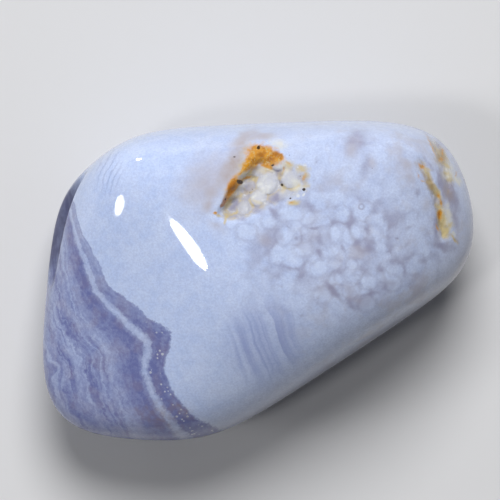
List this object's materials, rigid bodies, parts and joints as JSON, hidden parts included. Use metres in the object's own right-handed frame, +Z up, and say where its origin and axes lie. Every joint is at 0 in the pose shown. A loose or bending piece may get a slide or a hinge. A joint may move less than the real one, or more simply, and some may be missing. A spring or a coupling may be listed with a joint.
{
  "type": "tumbled chalcedony stone",
  "caption": "Tumbled and polished chalcedony pebble with a small crusted pocket, shallow chips and an undercut side, lying on a flat worn base.",
  "frame": {"origin": "on the flat base, below the middle of the stone's bounding box", "axes": "+X along the stone's length towards its narrow right end, +Y towards its straight far side, +Z up from the flat base"},
  "size_m": [0.032, 0.0238, 0.0155],
  "materials": {
    "polished_chalcedony": "polished pale periwinkle blue chalcedony with darker violet-grey bands at one end and a rough crusted pocket stained ochre"
  },
  "bodies": {
    "root": {"stone": "polished_chalcedony"}
  },
  "joints": []
}
